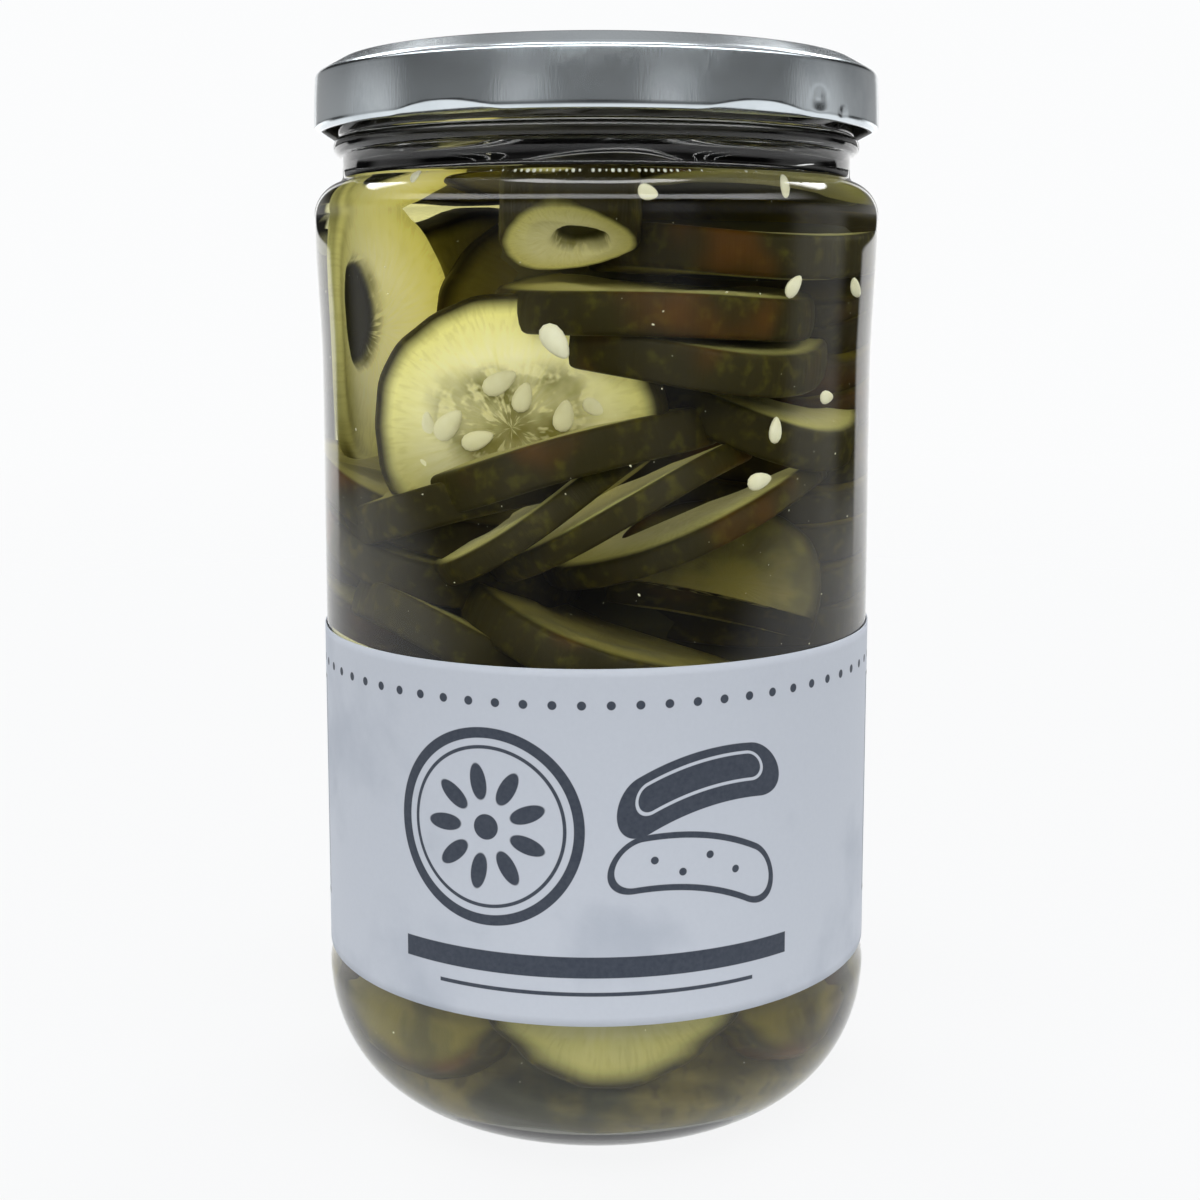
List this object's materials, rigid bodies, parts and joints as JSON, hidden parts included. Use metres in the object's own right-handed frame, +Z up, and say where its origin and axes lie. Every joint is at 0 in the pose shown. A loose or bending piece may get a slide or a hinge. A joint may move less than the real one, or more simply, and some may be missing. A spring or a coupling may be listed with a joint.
{
  "type": "pickle jar",
  "caption": "Shut glass jar filled with sliced pickles, with a twist-off metal lid and a paper label wrapped round the lower half.",
  "frame": {"origin": "centre of the jar's base, on the surface that it stands on", "axes": "+Z up along the jar's axis, the middle of the label faces -Y, +X to the right of the label"},
  "size_m": [0.0856, 0.0856, 0.1577],
  "materials": {
    "clear_glass": "clear, glossy",
    "tinplate": "satin silver",
    "label_paper": "uncoated pale blue-white paper with dark print",
    "pickle_slices": "wet yellow-green slices with dark green skin"
  },
  "bodies": {
    "root": {"jar": "clear_glass", "lid": "tinplate", "label": "label_paper", "pickles": "pickle_slices"}
  },
  "joints": []
}
